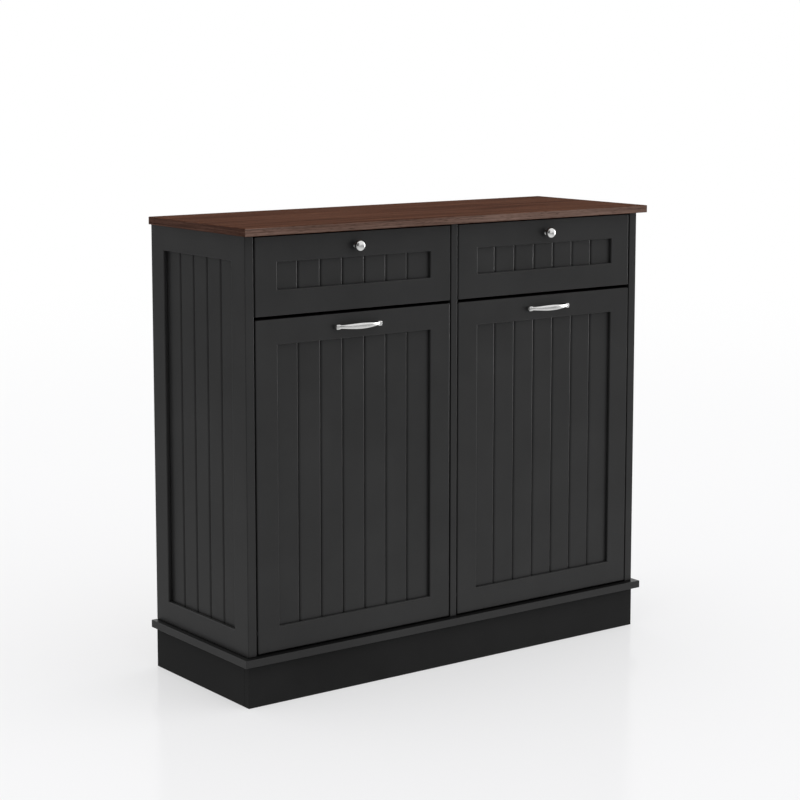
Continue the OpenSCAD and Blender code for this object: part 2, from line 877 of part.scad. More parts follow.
// The bow is a ring seen from above, cut to a lens as seen from the front
module pull(b) {
    end_x = pull_span / 2 + pull_end;
    rise = pull_reach - bow_lift;
    bow_r = (end_x * end_x + rise * rise) / (2 * rise);
    swell = (bow_h - bow_end_h) / 2;
    half = pull_span / 2;
    pull_tip = 1;
    lens_r = (half * half + swell * swell) / (2 * swell);
    color(steel) at_bay(b) translate([0, face_y, pull_z]) difference() {
        union() {
            intersection() {
                translate([0, bow_r - pull_reach, -bow_h / 2]) difference() {
                    cylinder(h = bow_h, r = bow_r, $fn = 240);
                    translate([0, 0, -cut])
                        cylinder(h = bow_h + 2 * cut, r = bow_r - bow_t, $fn = 240);
                }
                translate([0, 0, bow_h / 2 - lens_r]) rotate([90, 0, 0])
                    cylinder(h = pull_reach + cut, r = lens_r, $fn = 960);
                translate([0, 0, lens_r - bow_h / 2]) rotate([90, 0, 0])
                    cylinder(h = pull_reach + cut, r = lens_r, $fn = 960);
                block([-end_x, -pull_reach - cut, -bow_h], [end_x, 0, bow_h]);
            }
            for (s = [-1, 1]) translate([s * half, 0, 0])
                block([-pull_end, -machine_in - pull_tip, -bow_end_h / 2],
                      [pull_end, 0, bow_end_h / 2]);
        }
        for (s = [-1, 1]) translate([s * half, cut, 0]) rotate([90, 0, 0])
            cylinder(h = machine_in + cut, r = machine_r);
    }
}

module door_fixings(b) {
    color(steel) {
        for (s = [-1, 1]) machine_screw(b, s * pull_span / 2, pull_z);
        cradle_screws(b);
    }
    color(board) cradle_dowels(b);
}

worktop();
base_board();
plinth_front();
plinth_end(-1);  // plinth_left
plinth_end(1);  // plinth_right
plinth_back();
plinth_corner_blocks();
side_frame(-1);  // left_side_frame
side_frame(1);  // right_side_frame
side_bead_panel(-1);  // left_side_bead_panel
side_bead_panel(1);  // right_side_bead_panel
centre_divider();
back_panel();
mid_rails();
rear_top_rail();
outer_slides(-1);  // left_drawer_outer_slides
outer_slides(1);  // right_drawer_outer_slides
pivot_pins();
stop_pins();
door_bumpers();
case_screws();
case_dowels();
ball_retainers(-1);  // left_drawer_ball_retainers
ball_retainers(1);  // right_drawer_ball_retainers
drawer_front_frame(-1);  // left_drawer_front_frame
drawer_bead_panel(-1);  // left_drawer_bead_panel
drawer_side(-1, -1);  // left_drawer_left_side
drawer_side(-1, 1);  // left_drawer_right_side
drawer_back(-1);  // left_drawer_back
drawer_bottom(-1);  // left_drawer_bottom
inner_slides(-1);  // left_drawer_inner_slides
knob(-1);  // left_drawer_knob
drawer_fixings(-1);  // left_drawer_fixings
drawer_front_frame(1);  // right_drawer_front_frame
drawer_bead_panel(1);  // right_drawer_bead_panel
drawer_side(1, -1);  // right_drawer_left_side
drawer_side(1, 1);  // right_drawer_right_side
drawer_back(1);  // right_drawer_back
drawer_bottom(1);  // right_drawer_bottom
inner_slides(1);  // right_drawer_inner_slides
knob(1);  // right_drawer_knob
drawer_fixings(1);  // right_drawer_fixings
door_frame(-1);  // left_door_frame
door_bead_panel(-1);  // left_door_bead_panel
pull(-1);  // left_door_pull
pivot_bushes(-1);  // left_door_pivot_bushes
cradle_side(-1, -1);  // left_cradle_left_side
cradle_side(-1, 1);  // left_cradle_right_side
cradle_shelf(-1);  // left_cradle_shelf
cradle_back_rail(-1);  // left_cradle_back_rail
door_fixings(-1);  // left_door_fixings
door_frame(1);  // right_door_frame
door_bead_panel(1);  // right_door_bead_panel
pull(1);  // right_door_pull
pivot_bushes(1);  // right_door_pivot_bushes
cradle_side(1, -1);  // right_cradle_left_side
cradle_side(1, 1);  // right_cradle_right_side
cradle_shelf(1);  // right_cradle_shelf
cradle_back_rail(1);  // right_cradle_back_rail
door_fixings(1);  // right_door_fixings
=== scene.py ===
import json
import math

import bmesh
import bpy
from mathutils import Matrix, Vector


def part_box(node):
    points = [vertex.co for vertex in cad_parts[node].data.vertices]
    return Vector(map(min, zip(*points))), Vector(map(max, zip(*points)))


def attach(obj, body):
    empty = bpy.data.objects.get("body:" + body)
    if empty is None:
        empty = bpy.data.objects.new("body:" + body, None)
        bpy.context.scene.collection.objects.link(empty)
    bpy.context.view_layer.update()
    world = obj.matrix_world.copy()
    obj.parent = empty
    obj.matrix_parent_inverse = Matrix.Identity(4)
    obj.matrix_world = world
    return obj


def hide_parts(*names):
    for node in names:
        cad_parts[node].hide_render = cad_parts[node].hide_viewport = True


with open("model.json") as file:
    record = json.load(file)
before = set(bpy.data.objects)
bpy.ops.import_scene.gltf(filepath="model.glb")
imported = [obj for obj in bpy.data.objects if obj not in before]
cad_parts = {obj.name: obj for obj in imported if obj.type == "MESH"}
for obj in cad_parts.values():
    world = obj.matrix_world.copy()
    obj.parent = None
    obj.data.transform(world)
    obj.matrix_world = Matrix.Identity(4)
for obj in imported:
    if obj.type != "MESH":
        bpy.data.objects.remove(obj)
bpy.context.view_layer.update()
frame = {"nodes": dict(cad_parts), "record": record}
cadNodes = frame["nodes"]
scene = bpy.context.scene
mm = 0.001
bays = ("left", "right")
print("frame loaded:", len(cadNodes), "nodes")


# Small helpers

def linear(hexColour):
    # sRGB hex to the linear colour that the shaders want
    values = [int(hexColour[i:i + 2], 16) / 255 for i in (1, 3, 5)]
    return [v / 12.92 if v <= 0.04045 else ((v + 0.055) / 1.055) ** 2.4 for v in values] + [1]


def addNode(tree, kind, settings=None, links=None):
    # settings holds attributes or sockets by name, and links holds sockets and what feeds them
    node = tree.nodes.new(kind)
    for key, value in (settings or {}).items():
        if isinstance(key, str) and hasattr(node, key):
            setattr(node, key, value)
        else:
            node.inputs[key].default_value = value
    for key, source in (links or {}).items():
        tree.links.new(source, node.inputs[key])
    return node


def maths(tree, operation, *values):
    # what a Math node makes of the values, each of them a number or a socket
    numbers = {i: v for i, v in enumerate(values) if isinstance(v, (int, float))}
    sockets = {i: v for i, v in enumerate(values) if i not in numbers}
    return addNode(tree, "ShaderNodeMath", {"operation": operation} | numbers, sockets).outputs[0]


def mapRange(tree, value, source=(0, 1), target=(0, 1), kind="LINEAR"):
    # the value carried from the source range to the target range, and kept within it
    return addNode(tree, "ShaderNodeMapRange",
                   {"interpolation_type": kind, "From Min": source[0], "From Max": source[1],
                    "To Min": target[0], "To Max": target[1]}, {"Value": value}).outputs["Result"]


def meshObject(name, mesh):
    piece = bpy.data.objects.new(name, mesh)
    scene.collection.objects.link(piece)
    return piece


def applied(piece):
    # the piece with its modifiers made real, as a plain mesh
    bpy.context.view_layer.update()
    graph = bpy.context.evaluated_depsgraph_get()
    mesh = bpy.data.meshes.new_from_object(piece.evaluated_get(graph), depsgraph=graph)
    old = piece.data
    piece.modifiers.clear()
    piece.data = mesh
    if old.users == 0:
        bpy.data.meshes.remove(old)
    return piece


def meshFrom(work, name, isRound=False):
    # mesh data from a bmesh, shaded smooth where isRound is set
    if isRound:
        for face in work.faces:
            face.smooth = True
    mesh = bpy.data.meshes.new(name)
    work.to_mesh(mesh)
    work.free()
    return mesh


def bridge(work, rings, isCapped=True):
    # faces from each ring of vertices to the next, where a pole is a ring of one vertex
    for low, high in zip(rings, rings[1:]):
        count = max(len(low), len(high))
        for i in range(count):
            j = (i + 1) % count
            corners = (low[i % len(low)], low[j % len(low)], high[j % len(high)],
                       high[i % len(high)])
            unique = list(dict.fromkeys(corners))
            if len(unique) > 2:
                work.faces.new(unique)
    if isCapped:
        work.faces.new(rings[0][::-1])
        work.faces.new(rings[-1])


def boxOf(points):
    # the low and the high corner
    return [Vector([pick(point[i] for point in points) for i in range(3)]) for pick in (min, max)]


def setFinish(piece, material):
    piece.data.materials.clear()
    piece.data.materials.append(material)


def camel(node):
    first, *rest = node.split("_")
    return first + "".join(word.capitalize() for word in rest)


def bodyOf(node):
    bodies = frame["record"]["behaviour"]["bodies"]
    return next(body for body, members in bodies.items() if node in members)


def stand(piece, node):
    # the piece rides on the node's body and is shown in its place
    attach(piece, bodyOf(node))
    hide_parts(node)


# Finishes

def newMaterial(name):
    material = bpy.data.materials.new(name)
    material.use_nodes = True
    material.node_tree.nodes.clear()
    return material, material.node_tree


def noise(tree, space, detail, bend=0):
    return addNode(tree, "ShaderNodeTexNoise", {"Scale": 1, "Detail": detail, "Distortion": bend},
                   {"Vector": space}).outputs["Fac"]


def ramp(tree, stops, value):
    # colours by value, where stops holds pairs of position and colour
    node = addNode(tree, "ShaderNodeValToRGB", {}, {"Fac": value})
    elements = node.color_ramp.elements
    while len(elements) < len(stops):
        elements.new(0.5)
    for element, (position, colour) in zip(elements, stops):
        element.position = position
        element.color = linear(colour)
    return node.outputs[0]


def blend(colours):
    # a ramp's two stops, at the lowest and highest values that a noise pattern mostly has
    return list(zip((0.3, 0.7), colours))


def mix(tree, share, low, high):
    return addNode(tree, "ShaderNodeMix", {"data_type": "RGBA"},
                   {0: share, 6: low, 7: high}).outputs[2]


def multiply(tree, colour, shade):
    return addNode(tree, "ShaderNodeMix", {"data_type": "RGBA", "blend_type": "MULTIPLY", 0: 1.0},
                   {6: colour, 7: shade}).outputs[2]


def patternSpace(tree, size):
    # the piece's own coordinates, in steps of the pattern's real size along X, Y and Z
    place = addNode(tree, "ShaderNodeTexCoord")
    return addNode(tree, "ShaderNodeMapping", {"Scale": [1 / step for step in size]},
                   {"Vector": place.outputs["Object"]}).outputs[0]


def facesAlong(tree, axis, over=0.8):
    # 1 where a face looks along the axis, to either side, by more than over
    normal = addNode(tree, "ShaderNodeTexCoord").outputs["Normal"]
    facing = addNode(tree, "ShaderNodeSeparateXYZ", {}, {0: normal}).outputs[axis]
    return maths(tree, "GREATER_THAN", maths(tree, "ABSOLUTE", facing), over)


def finishMaterial(tree, settings, colour, height, relief, gloss=None):
    # relief is the bump's strength and depth, and gloss a pattern with its two roughnesses
    strength, depth = relief
    bump = addNode(tree, "ShaderNodeBump", {"Strength": strength, "Distance": depth},
                   {"Height": height})
    links = {"Base Color": colour, "Normal": bump.outputs[0]}
    if gloss:
        pattern, roughness = gloss
        links["Roughness"] = mapRange(tree, pattern, target=roughness)
    shader = addNode(tree, "ShaderNodeBsdfPrincipled", settings, links)
    addNode(tree, "ShaderNodeOutputMaterial", {}, {"Surface": shader.outputs[0]})


paint = {
    "clouds": 110 * mm,  # slow drift of colour and sheen across a board
    "peel": 2.2 * mm,  # from wave to wave of the orange peel
    "relief": (0.06, 0.2 * mm),
}


def sprayedPaint(name, colours, rough, ior, flat=None):
    # sprayed MDF: soft black with a low sheen and a faint orange peel from the spray gun, and
    # darker colours on the faces that lie flat, where flat is given, which is painted shade
    material, tree = newMaterial(name)
    cloud = noise(tree, patternSpace(tree, [paint["clouds"]] * 3), 3)
    coat = ramp(tree, blend(colours), cloud)
    if flat:
        # painted shade: the faces that look up or down take the darker colours given as flat
        coat = mix(tree, facesAlong(tree, "Z"), coat, ramp(tree, blend(flat), cloud))
    peel = noise(tree, patternSpace(tree, [paint["peel"]] * 3), 1)
    finishMaterial(tree, {"IOR": ior}, coat, peel, paint["relief"], (cloud, rough))
    return material


walnut = {
    # length and width of the marks in the three layers of the grain
    "figure": (500 * mm, 22 * mm),
    "streaks": (110 * mm, 2.2 * mm),
    "pores": (14 * mm, 0.7 * mm),  # real pores are 0.2 mm wide, drawn wider so that they show
    "face": [(0.3, "#462c20"), (0.5, "#58392a"), (0.7, "#6b4635")],
    "longBand": [(0.3, "#66534b"), (0.5, "#786258"), (0.7, "#8a7167")],
    "endBand": [(0.3, "#42302a"), (0.5, "#573f36"), (0.7, "#6a4f45")],
    "figureShade": [(0.36, "#c6bcb7"), (0.64, "#ffffff")],
    "poreShade": [(0.54, "#ffffff"), (0.7, "#a8a3a0")],
    "relief": (0.25, 0.15 * mm),
    "roughness": (0.6, 0.7),
    "mirror": 0.003,  # oiled wood this dull mirrors next to nothing
}


def grainSpace(tree, along, across):
    # steps of the grain's length and width, along X, but along Y on a board's two ends
    place = addNode(tree, "ShaderNodeTexCoord").outputs["Object"]
    spot = addNode(tree, "ShaderNodeSeparateXYZ", {}, {0: place})
    turned = addNode(tree, "ShaderNodeCombineXYZ", {},
                     {"X": spot.outputs["Y"], "Y": spot.outputs["X"], "Z": spot.outputs["Z"]})
    chosen = addNode(tree, "ShaderNodeMix", {"data_type": "VECTOR"},
                     {0: facesAlong(tree, "X"), 4: place, 5: turned.outputs[0]})
    return addNode(tree, "ShaderNodeMapping", {"Scale": (1 / along, 1 / across, 1 / across)},
                   {"Vector": chosen.outputs[1]}).outputs[0]


def walnutVeneer():
    # dark stained walnut veneer, oiled mat: straight fine grain with short pores, and edges in
    # paler, greyer colours, most of all along the long edges
    material, tree = newMaterial("walnutVeneer")
    grain = {layer: noise(tree, grainSpace(tree, *walnut[layer]), detail, bend)
             for layer, detail, bend in (("figure", 4, 0.4), ("streaks", 5, 0), ("pores", 2, 0))}
    colours = {part: ramp(tree, walnut[part], grain[layer]) for part, layer in (
        ("face", "streaks"), ("longBand", "streaks"), ("endBand", "streaks"),
        ("figureShade", "figure"), ("poreShade", "pores"))}
    bands = mix(tree, facesAlong(tree, "X"), colours["longBand"], colours["endBand"])
    wood = mix(tree, facesAlong(tree, "Z", 0.5), bands, colours["face"])
    for part in ("figureShade", "poreShade"):
        wood = multiply(tree, wood, colours[part])
    finishMaterial(tree, {"IOR": 1.5, "Specular IOR Level": walnut["mirror"]}, wood,
                   colours["poreShade"], walnut["relief"], (grain["streaks"], walnut["roughness"]))
    return material


plywood = {
    # size of the birch figure along, across and through the board
    "along": 200 * mm,
    "across": 33 * mm,
    "through": 8.3 * mm,
    "pair": 3 * mm,  # one light and one dark ply
    "face": [(0.3, "#c09a6b"), (0.55, "#d3b285"), (0.75, "#dec49a")],
    "plies": [(0.35, "#8a6238"), (0.65, "#d0b083")],
    "relief": (0.15, 0.2 * mm),
    "roughness": 0.42,
}


def birchPlywood(name, thin):
    # lacquered birch plywood: pale faces with a soft figure, and dark and light plies on the edges
    material, tree = newMaterial(name)
    along, across, through = plywood["along"], plywood["across"], plywood["through"]
    size = {"X": (through, along, across), "Y": (along, through, across),
            "Z": (along, across, through)}[thin]
    figure = noise(tree, patternSpace(tree, size), 5, 0.6)
    depth = addNode(tree, "ShaderNodeSeparateXYZ", {},
                    {0: patternSpace(tree, [plywood["pair"] / (2 * math.pi)] * 3)}).outputs[thin]
    layer = mapRange(tree, maths(tree, "SINE", depth), (-1, 1))
    colour = mix(tree, facesAlong(tree, thin, 0.5), ramp(tree, plywood["plies"], layer),
                 ramp(tree, plywood["face"], figure))
    finishMaterial(tree, {"Roughness": plywood["roughness"], "IOR": 1.5}, colour, figure,
                   plywood["relief"])
    return material


hardboard = {
    "flecks": 1.5 * mm,  # length of a bundle of fibres
    "clouds": 70 * mm,  # paler and darker patches of the sheet
    "fleckColours": [(0.35, "#5b3d26"), (0.62, "#7d593a")],
    "cloudShade": [(0.3, "#e9e6e3"), (0.7, "#ffffff")],
    "relief": (0.3, 0.1 * mm),
    "roughness": 0.6,
}


def pressedHardboard():
    # pressed wood fibre: brown and smooth, with flecks a millimetre or two long
    material, tree = newMaterial("pressedHardboard")
    fleck, cloud = (noise(tree, patternSpace(tree, [hardboard[size]] * 3), detail)
                    for size, detail in (("flecks", 4), ("clouds", 2)))
    colour = multiply(tree, ramp(tree, hardboard["fleckColours"], fleck),
                      ramp(tree, hardboard["cloudShade"], cloud))
    finishMaterial(tree, {"Roughness": hardboard["roughness"], "IOR": 1.5}, colour, fleck,
                   hardboard["relief"])
    return material


scratchDepth = 0.05 * mm


def evenFinish(name, stops, marks, detail, settings, relief, rough=None, bend=0):
    # one colour, broken by marks of the given real size along X, Y and Z
    material, tree = newMaterial(name)
    marked = noise(tree, patternSpace(tree, marks), detail, bend)
    finishMaterial(tree, settings, ramp(tree, stops, marked), marked, relief,
                   rough and (marked, rough))
    return material


def metal(name, colours, rough, marks, strength):
    # marks is what rolling, grinding or polishing left behind
    return evenFinish(name, blend(colours), marks, 3, {"Metallic": 1.0},
                      (strength, scratchDepth), rough)


def evenMatt(name, colours, rough, grain):
    # grain is what the mould or the fibres leave in a dull surface
    return evenFinish(name, blend(colours), [grain] * 3, 2, {"Roughness": rough, "IOR": 1.5},
                      (0.2, scratchDepth))


doorBlack = ("#282828", "#2d2d2d")
finishes = {
    "casePaint": sprayedPaint("softBlackPaint", doorBlack, (0.3, 0.36), 1.3),
    # the base board's top is painted near black, which is painted shade, and its edge has the
    # colour of the doors
    "basePaint": sprayedPaint("softBlackEdgePaint", doorBlack, (0.3, 0.36), 1.3,
                              ("#131313", "#171717")),
    # the plinth is painted darker than the doors, which is painted shade under the base board, and
    # it is duller, so it hardly mirrors the floor
    "plinthPaint": sprayedPaint("matBlackPlinthPaint", ("#222222", "#262626"), (0.5, 0.6), 1.15),
    "walnut": walnutVeneer(),
    "hardboard": pressedHardboard(),
    "plyX": birchPlywood("birchPlywoodUpright", "X"),
    "plyY": birchPlywood("birchPlywoodCross", "Y"),
    "plyZ": birchPlywood("birchPlywoodFlat", "Z"),
    # unfinished planed softwood: pale and dull, with the wide soft stripes of its year rings
    "pine": evenFinish("planedPine", [(0.35, "#b98d58"), (0.6, "#d7b27c")],
                       (330 * mm, 11 * mm, 11 * mm), 4, {"Roughness": 0.7, "IOR": 1.45},
                       (0.2, 0.3 * mm), bend=0.8),
    # rolled and plated sheet: light grey, with lines along the slide that blur what it mirrors;
    # the real lines are 0.1 mm wide, drawn wider so that they show from near
    "zinc": metal("zincPlatedSteel", ("#b4b6b8", "#cfd1d2"), (0.28, 0.42),
                  (1.1 * mm, 125 * mm, 1.1 * mm), 0.3),
    # ground and polished balls: small bright mirrors with barely a mark
    "ballSteel": metal("polishedBallSteel", ("#d4d5d6", "#dedfe0"), (0.08, 0.12),
                       [3.3 * mm] * 3, 0.02),
    # cast and plated in satin nickel: bright, with a soft edge to what it mirrors; the real
    # polishing lines are 0.1 mm wide, drawn wider so that they show from near
    "nickel": metal("satinNickelPlate", ("#d2d2d1", "#e2e2e1"), (0.16, 0.24),
                    (17 * mm, 1.4 * mm, 1.4 * mm), 0.1),
    # turned and blackened pins: dark, with a dull glint and a cloudy coat
    "blackSteel": metal("blackZincSteel", ("#2a2a2b", "#363637"), (0.4, 0.5), [3.3 * mm] * 3, 0.05),
    # moulded nylon and rubber take the tool's fine matt grain, here drawn coarser than the real
    # 0.1 mm so that it shows from near: nylon with a soft sheen, rubber dull
    "nylon": evenMatt("blackNylon", ("#1c1c1d", "#262627"), 0.5, 0.6 * mm),
    "rubber": evenMatt("blackRubber", ("#141414", "#1d1d1d"), 0.75, 0.4 * mm),
    # dowel rod: warm tan and dull, with the flecks of beech
    "beech": evenMatt("beechDowel", ("#b98a58", "#d2a877"), 0.65, 1.2 * mm),
}
print("finishes made:", len(finishes))


# Boards and sheet metal keep the CAD shape and get rounded edges

edging = {
    "weld": 0.002 * mm,  # CAD corners closer than this are one corner
    "flat": 0.5,  # degrees between triangles that make one flat face
    "corner": 25,  # degrees from which a board's edge is rounded
    "shortest": 8 * mm,  # shorter edges belong to bores and screw holes and stay crisp
    "rim": 50,  # degrees from which the rim of a turned piece is rounded
    "segments": 3,
    "sharpFrom": 40,  # degrees from which two faces are shaded apart
    # the seam in an inner corner: its least angle in degrees, the least face beside it, and how
    # nearly it may lie along one axis
    "mitre": (12, 4 * mm * mm, 0.98),
}


def mergedCopy(node):
    # the CAD node's triangles as one skin of flat faces
    work = bmesh.new()
    work.from_mesh(cadNodes[node].data)
    bmesh.ops.remove_doubles(work, verts=work.verts, dist=edging["weld"])
    bmesh.ops.dissolve_limit(work, angle_limit=math.radians(edging["flat"]), verts=work.verts,
                             edges=work.edges)
    return work


def crispMitres(mesh):
    # two rounded edges that meet in an inner corner each keep their own shading
    leastAngle, leastFace, straight = edging["mitre"]
    work = bmesh.new()
    work.from_mesh(mesh)
    for edge in work.edges:
        if len(edge.link_faces) != 2 or edge.calc_face_angle() < math.radians(leastAngle):
            continue
        along = (edge.verts[1].co - edge.verts[0].co).normalized()
        isWide = min(face.calc_area() for face in edge.link_faces) > leastFace
        if isWide and max(abs(part) for part in along) < straight:
            edge.smooth = False
    work.to_mesh(mesh)
    work.free()


def evenShading(piece, sharpFrom, isMitred=False):
    # the flat faces keep their own normals, and only the rounded edges are shaded round
    piece.data.set_sharp_from_angle(angle=math.radians(sharpFrom))
    if isMitred:
        crispMitres(piece.data)
    shading = piece.modifiers.new("shading", "WEIGHTED_NORMAL")
    shading.keep_sharp = True
    shading.use_face_influence = True
    applied(piece)


def bevelledPiece(node, work, limit, radius, finish):
    # stands for the node, with the edges that the limit picks rounded to the radius
    piece = meshObject(camel(node), meshFrom(work, camel(node), isRound=True))
    edges = piece.modifiers.new("edges", "BEVEL")
    edges.limit_method = limit
    edges.angle_limit = math.radians(edging["rim"])
    edges.width = radius * mm
    edges.segments = edging["segments"]
    edges.use_clamp_overlap = False
    edges.face_strength_mode = "FSTR_ALL"
    applied(piece)
    evenShading(piece, edging["sharpFrom"], isMitred=limit == "WEIGHT")
    setFinish(piece, finishes[finish])
    stand(piece, node)


def roundedBoard(node, radius, finish):
    work = mergedCopy(node)
    weight = work.edges.layers.float.new("bevel_weight_edge")
    for edge in work.edges:
        if len(edge.link_faces) != 2 or edge.calc_face_angle() < math.radians(edging["corner"]):
            continue
        if edge.is_convex and edge.calc_length() > edging["shortest"]:
            edge[weight] = 1.0
    bevelledPiece(node, work, "WEIGHT", radius, finish)


boards = [
    # how the nodes' names end, the radius of their rounded edges in millimetres, and the finish
    (("worktop",), 1.2, "walnut"),
    (("base_board",), 1.0, "basePaint"),
    (("plinth_front", "plinth_left", "plinth_right", "plinth_back"), 0.6, "plinthPaint"),
    (("plinth_corner_blocks", "rear_top_rail"), 0.8, "pine"),
    (("side_frame", "centre_divider", "drawer_front_frame", "door_frame"), 2.0, "casePaint"),
    (("back_panel", "drawer_bottom"), 0.3, "hardboard"),
    (("mid_rails",), 0.8, "plinthPaint"),
    (("drawer_left_side", "drawer_right_side"), 0.7, "plyX"),
    (("cradle_left_side", "cradle_right_side"), 0.7, "plyX"),
    (("drawer_back", "cradle_back_rail"), 0.7, "plyY"),
    (("cradle_shelf",), 0.7, "plyZ"),
    (("outer_slides", "inner_slides"), 0.25, "zinc"),
    (("ball_retainers",), 0.12, "zinc"),
]

for node in sorted(cadNodes):
    for endings, radius, finish in boards:
        if node.endswith(endings):
            roundedBoard(node, radius, finish)
print("boards and slides rounded")


turned = {
    # radius of the rounded rims in millimetres and the finish
    "pivot_pins": (0.5, "blackSteel"),
    "stop_pins": (0.5, "blackSteel"),
    "door_bumpers": (0.8, "rubber"),
    "case_dowels": (0.6, "beech"),
    "left_door_pivot_bushes": (0.2, "nylon"),
    "right_door_pivot_bushes": (0.2, "nylon"),
}

for node, (radius, finish) in turned.items():
    bevelledPiece(node, mergedCopy(node), "ANGLE", radius, finish)
print("turned pieces made")


# Bead panels, whose V grooves repeat at one pitch

beads = {
    "grooveWidth": 4 * mm,
    "grooveDepth": 3.4 * mm,
    "lipRadius": 5 * mm,  # the sprayed edge of each bead
    "lipSteps": 6,
    "proud": 3 * mm,  # how far the cutter stands out in front of the panel
    "overrun": 1.02,  # height of the cutter in panel heights
    "tongue": 7.5 * mm,  # how far the panel reaches into its rebate
    "frontGrooves": 6,
    "sideGrooves": 4,
    "sharpFrom": 30,  # degrees from which two faces are shaded apart
}


def grooveCutter():
    # a V with rounded lips, one metre tall, which the node tree scales to the panel
    half, depth, lip = beads["grooveWidth"] / 2, beads["grooveDepth"], beads["lipRadius"]
    turn = math.atan2(depth, half)
    start = half + lip * math.tan(turn / 2)
    angles = [turn * i / beads["lipSteps"] for i in range(beads["lipSteps"] + 1)]
    left = [(-start + lip * math.sin(a), lip - lip * math.cos(a)) for a in angles]
    outline = [(-start, -beads["proud"])] + left + [(0, depth)]
    outline += [(-x, y) for x, y in reversed(left)] + [(start, -beads["proud"])]
    work = bmesh.new()
    bridge(work, [[work.verts.new((x, y, z)) for x, y in outline] for z in (-0.5, 0.5)])
    bmesh.ops.recalc_face_normals(work, faces=work.faces)
    return bpy.data.objects.new("grooveCutter", meshFrom(work, "grooveCutter"))


def startTree(name, sockets):
    # a Geometry Nodes tree with the named inputs, and what they give
    tree = bpy.data.node_groups.new(name, "GeometryNodeTree")
    tree.interface.new_socket("Geometry", in_out="OUTPUT", socket_type="NodeSocketGeometry")
    for socket, kind in sockets:
        tree.interface.new_socket(socket, in_out="INPUT", socket_type="NodeSocket" + kind)
    return tree, addNode(tree, "NodeGroupInput").outputs


def endTree(tree, shape, finish):
    real = addNode(tree, "GeometryNodeRealizeInstances", {}, {0: shape})
    coated = addNode(tree, "GeometryNodeSetMaterial", {},
                     {"Geometry": real.outputs[0], "Material": finish})
    addNode(tree, "NodeGroupOutput", {}, {0: coated.outputs[0]})
    return tree


def runTree(piece, tree, values):
    # inputs are set by their identifiers, then the result becomes a plain mesh
    modifier = piece.modifiers.new(tree.name, "NODES")
    modifier.node_group = tree
    for item in tree.interface.items_tree:
        if item.in_out == "INPUT" and item.name in values:
            modifier[item.identifier] = values[item.name]
    return applied(piece)


def beadPanelTree():
    tree, given = startTree("beadPanel", (
        ("Board Size", "Vector"), ("Window Width", "Float"), ("Grooves", "Int"),
        ("Cutter", "Object"), ("Finish", "Material")))
    size = addNode(tree, "ShaderNodeSeparateXYZ", {}, {0: given["Board Size"]}).outputs
    boardPlace = addNode(tree, "ShaderNodeCombineXYZ", {},
                         {"Y": maths(tree, "MULTIPLY", size["Y"], 0.5)})
    cube = addNode(tree, "GeometryNodeMeshCube", {}, {"Size": given["Board Size"]})
    board = addNode(tree, "GeometryNodeTransform", {},
                    {"Geometry": cube.outputs["Mesh"], "Translation": boardPlace.outputs[0]})
    gaps = maths(tree, "ADD", given["Grooves"], 1)
    pitch = maths(tree, "DIVIDE", given["Window Width"], gaps)
    first = maths(tree, "MULTIPLY_ADD", given["Window Width"], -0.5, pitch)
    start, step = (addNode(tree, "ShaderNodeCombineXYZ", {}, {"X": along}).outputs[0]
                   for along in (first, pitch))
    row = addNode(tree, "GeometryNodeMeshLine", {"mode": "OFFSET"},
                  {"Count": given["Grooves"], "Start Location": start, "Offset": step})
    cutter = addNode(tree, "GeometryNodeObjectInfo", {}, {"Object": given["Cutter"]})
    stretch = addNode(tree, "ShaderNodeCombineXYZ", {"X": 1.0, "Y": 1.0},
                      {"Z": maths(tree, "MULTIPLY", size["Z"], beads["overrun"])})
    grooves = addNode(tree, "GeometryNodeInstanceOnPoints", {},
                      {"Points": row.outputs[0], "Instance": cutter.outputs["Geometry"],
                       "Scale": stretch.outputs[0]})
    solid = addNode(tree, "GeometryNodeRealizeInstances", {}, {0: grooves.outputs[0]})
    cut = addNode(tree, "GeometryNodeMeshBoolean", {"operation": "DIFFERENCE", "solver": "EXACT"},
                  {0: board.outputs[0], 1: solid.outputs[0]})
    return endTree(tree, cut.outputs[0], given["Finish"])


def beadPanel(node, grooves, turn, tree, cutter):
    # turn is 0 degrees for a panel that faces the front, and 90 or -90 for one in a side
    low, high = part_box(node)
    size, middle = high - low, (low + high) / 2
    width, depth = (size.x, size.y) if turn == 0 else (size.y, size.x)
    piece = meshObject(camel(node), bpy.data.meshes.new(camel(node)))
    runTree(piece, tree, {"Board Size": (width, depth, size.z), "Grooves": grooves,
                          "Window Width": width - 2 * beads["tongue"], "Cutter": cutter,
                          "Finish": finishes["casePaint"]})
    face = {0: Vector((middle.x, low.y, middle.z)), 90: Vector((high.x, middle.y, middle.z)),
            -90: Vector((low.x, middle.y, middle.z))}[turn]
    piece.data.transform(Matrix.Translation(face) @ Matrix.Rotation(math.radians(turn), 4, "Z"))
    for polygon in piece.data.polygons:
        polygon.use_smooth = True
    evenShading(piece, beads["sharpFrom"])
    stand(piece, node)


panelTree = beadPanelTree()
cutterPiece = grooveCutter()
for bay in bays:
    beadPanel(bay + "_drawer_bead_panel", beads["frontGrooves"], 0, panelTree, cutterPiece)
    beadPanel(bay + "_door_bead_panel", beads["frontGrooves"], 0, panelTree, cutterPiece)
beadPanel("left_side_bead_panel", beads["sideGrooves"], -90, panelTree, cutterPiece)
beadPanel("right_side_bead_panel", beads["sideGrooves"], 90, panelTree, cutterPiece)
bpy.data.objects.remove(cutterPiece)
print("bead panels made")


# Knobs, turned from one profile

knob = {
    # radius and distance from the drawer front, in millimetres
    "profile": [(5.9, 0), (6, 0.6), (5.8, 1.4), (5.1, 2.4), (4.7, 3.6), (5, 4.8), (6.6, 5.9),
                (8.7, 7.4), (10.2, 9.4), (10.9, 11.6), (11, 13.2), (10.7, 15), (9.8, 16.9),
                (8, 18.5), (5.4, 19.5), (2.4, 19.93), (0, 20)],
    "steps": 4,  # points of the curve for each point of the profile
    "segments": 64,
    "sharpFrom": 50,
}


